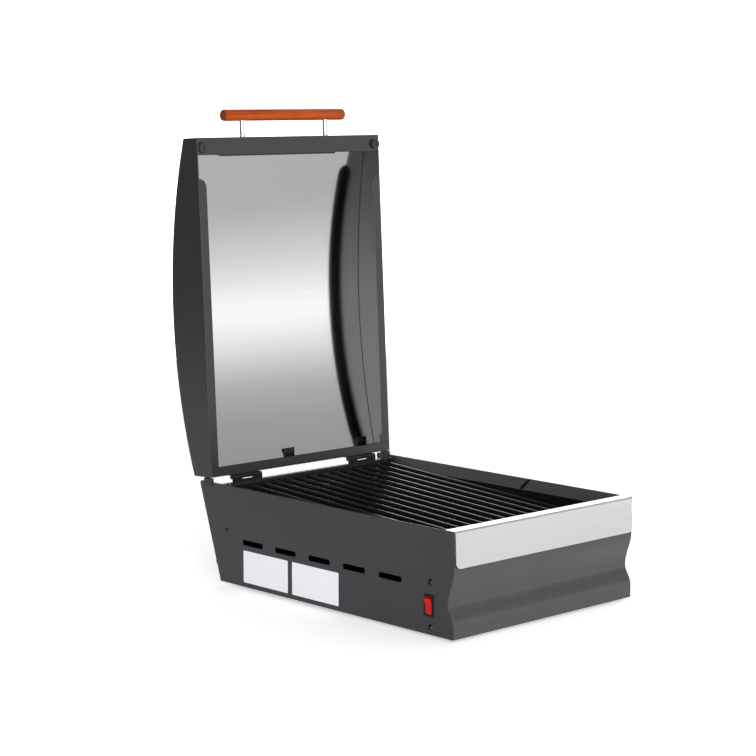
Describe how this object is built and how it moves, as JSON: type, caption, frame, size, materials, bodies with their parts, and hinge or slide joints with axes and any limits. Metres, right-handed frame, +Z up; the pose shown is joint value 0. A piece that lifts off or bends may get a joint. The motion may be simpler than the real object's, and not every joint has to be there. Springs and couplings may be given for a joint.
{
  "type": "electric barbecue grill",
  "caption": "Countertop electric grill: dark steel body with a rod grate over a heating element, side rocker switch, and a hinged mirror-lined lid with a wooden handle.",
  "frame": {"origin": "middle of the footprint of the whole grill with its lid open, on the table", "axes": "+Z up, front of the grill towards -Y, its switch side towards -X"},
  "size_m": [0.3466, 0.5567, 0.6541],
  "materials": {
    "body_paint": "dark grey powder coat, satin",
    "front_paint": "grey powder coat, satin",
    "strip_steel": "brushed stainless",
    "mirror_steel": "mirror-polished stainless",
    "grate_enamel": "gloss black enamel",
    "zinc_steel": "zinc-plated steel",
    "rubber": "matt",
    "handle_wood": "oiled",
    "polished_steel": "polished",
    "well_steel": "heat-darkened stainless",
    "element_steel": "dark oxidised tube",
    "ceramic": "unglazed",
    "wire_sleeve": "silicone sleeve",
    "black_plastic": "satin",
    "brass_tabs": "plain",
    "red_plastic": "translucent gloss",
    "black_steel": "black oxide",
    "plate_white": "satin print film"
  },
  "bodies": {
    "body": {"left_side_panel": "body_paint", "right_side_panel": "body_paint", "front_panel": "front_paint", "front_strip": "strip_steel", "rear_panel": "body_paint", "base_plate": "body_paint", "well_liner": "well_steel", "liner_brackets": "zinc_steel", "grate_rests": "well_steel", "drip_tray": "well_steel", "heating_element": "element_steel", "element_supports": "well_steel", "element_bushes": "ceramic", "terminal_block": "ceramic", "internal_wiring": "wire_sleeve", "switch_housing": "black_plastic", "switch_terminals": "brass_tabs", "cable_gland": "black_plastic", "gland_nut": "black_plastic", "side_screws": "black_steel", "rear_rivets": "black_steel", "info_plate_front": "plate_white", "info_plate_rear": "plate_white", "foot_front_left": "rubber", "foot_front_right": "rubber", "foot_rear_left": "rubber", "foot_rear_right": "rubber", "foot_screws": "zinc_steel", "left_hinge_lower_leaf": "black_steel", "right_hinge_lower_leaf": "black_steel", "left_hinge_pin": "black_steel", "right_hinge_pin": "black_steel", "hinge_body_screws": "black_steel", "left_stop_pad": "rubber", "right_stop_pad": "rubber"},
    "lid": {"lid_left_panel": "body_paint", "lid_right_panel": "body_paint", "lid_skin": "body_paint", "lid_front_wall": "body_paint", "lid_rear_wall": "body_paint", "lid_liner": "mirror_steel", "liner_retainer": "body_paint", "liner_clips": "black_steel", "lid_bumper_left": "rubber", "lid_bumper_right": "rubber", "left_hinge_upper_leaf": "black_steel", "right_hinge_upper_leaf": "black_steel", "hinge_lid_screws": "black_steel", "handle_bar": "handle_wood", "left_handle_post": "polished_steel", "right_handle_post": "polished_steel", "handle_screws": "zinc_steel"},
    "grate_body": {"grate": "grate_enamel"},
    "rocker_body": {"rocker": "red_plastic"}
  },
  "joints": [
    {"name": "lid_hinge", "type": "hinge", "parent": "body", "child": "lid", "pos_m": [0, 0.1943, 0.1438], "axis": [1, 0, 0], "range_deg": [0, 93]},
    {"name": "grate_lift", "type": "slide", "parent": "body", "child": "grate_body", "axis": [0, 0, 1], "range_m": [0, 0.034]},
    {"name": "rocker_pivot", "type": "hinge", "parent": "body", "child": "rocker_body", "pos_m": [-0.169, -0.2314, 0.0412], "axis": [0, 1, 0], "range_deg": [0, 18]}
  ]
}
